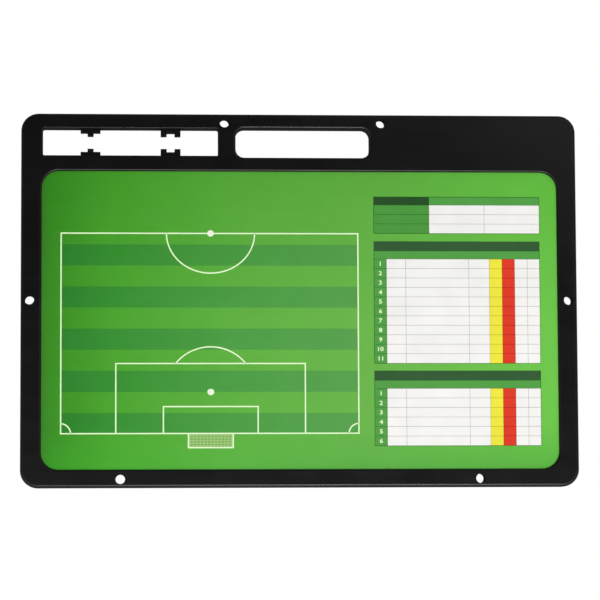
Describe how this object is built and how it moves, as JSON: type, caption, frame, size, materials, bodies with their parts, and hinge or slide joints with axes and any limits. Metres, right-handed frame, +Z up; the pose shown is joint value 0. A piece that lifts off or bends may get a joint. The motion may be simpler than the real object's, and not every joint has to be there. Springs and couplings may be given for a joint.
{
  "type": "tactics board",
  "caption": "Flat hand-held tactics board: black two-shell frame with grip opening, pen slot with clip tabs and hanging holes around a recessed magnetic dry-wipe panel printed with a pitch.",
  "frame": {"origin": "midway between the two upper hanging holes, on the plane of the rear face", "axes": "+X to the reader's right along the board, +Y out of the rear face into the wall it hangs on, +Z up towards the handle"},
  "size_m": [0.45, 0.015, 0.302],
  "materials": {
    "black_shell": "satin black moulded plastic with a fine spark texture",
    "clear_film": "clear wipe-clean film",
    "front_print": "green printed sheet with pitch lines and tables",
    "rear_print": "green printed sheet with pitch lines",
    "steel_sheet": "bare zinc-coated sheet",
    "core_board": "pale foamed board",
    "screw_steel": "zinc-plated steel"
  },
  "bodies": {
    "root": {"front_frame": "black_shell", "rear_frame": "black_shell", "front_clear_film": "clear_film", "front_print_sheet": "front_print", "front_steel_sheet": "steel_sheet", "core_board": "core_board", "rear_steel_sheet": "steel_sheet", "rear_print_sheet": "rear_print", "rear_clear_film": "clear_film", "frame_screws": "screw_steel"}
  },
  "joints": []
}
